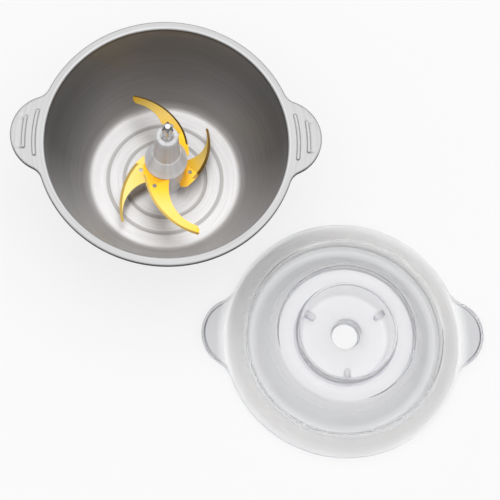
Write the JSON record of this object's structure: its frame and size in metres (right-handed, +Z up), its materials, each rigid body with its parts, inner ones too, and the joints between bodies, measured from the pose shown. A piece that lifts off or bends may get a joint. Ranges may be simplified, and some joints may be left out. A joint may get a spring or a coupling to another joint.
{
  "type": "food chopper bowl set",
  "caption": "Stainless steel chopping bowl with two ear handles, a lift-out gold blade unit on a centre pin, and its clear plastic lid lying beside it.",
  "frame": {"origin": "centre of the bowl's standing ring on the worktop", "axes": "+Z up along the bowl and spindle axis, X through the bowl's two ears, +Y away from the viewer"},
  "size_m": [0.3847, 0.3363, 0.122],
  "materials": {
    "bowl_steel": "brushed inside, satin flange",
    "base_rubber": "matt",
    "pin_steel": "turned",
    "seal_rubber": "matt",
    "sleeve_plastic": "smooth",
    "star_steel": "polished",
    "hub_plastic": "translucent grey",
    "blade_gold": "gold coloured hard coating",
    "lid_clear": "clear",
    "lid_seal_silicone": "frosted translucent"
  },
  "bodies": {
    "bowl": {"bowl_shell": "bowl_steel", "base_ring": "base_rubber", "spindle_pin": "pin_steel", "pin_seal": "seal_rubber", "pin_washer": "pin_steel", "pin_nut": "pin_steel"},
    "sleeve": {"pivot_sleeve": "sleeve_plastic"},
    "blade_unit": {"drive_star": "star_steel", "blade_hub": "hub_plastic", "upper_blades": "blade_gold", "blade_spacer": "hub_plastic", "lower_blades": "blade_gold", "hub_foot": "hub_plastic"},
    "lid": {"lid_shell": "lid_clear", "lid_seal": "lid_seal_silicone"}
  },
  "joints": [
    {"name": "blade_lift", "type": "slide", "parent": "bowl", "child": "sleeve", "axis": [0, 0, 1], "range_m": [0, 0.13]},
    {"name": "blade_spin", "type": "hinge", "parent": "sleeve", "child": "blade_unit", "pos_m": [0, 0, 0.03], "axis": [0, 0, 1], "continuous": true},
    {"name": "lid_lift", "type": "slide", "parent": "bowl", "child": "lid", "axis": [0, 0, 1], "range_m": [0, 0.15]}
  ]
}
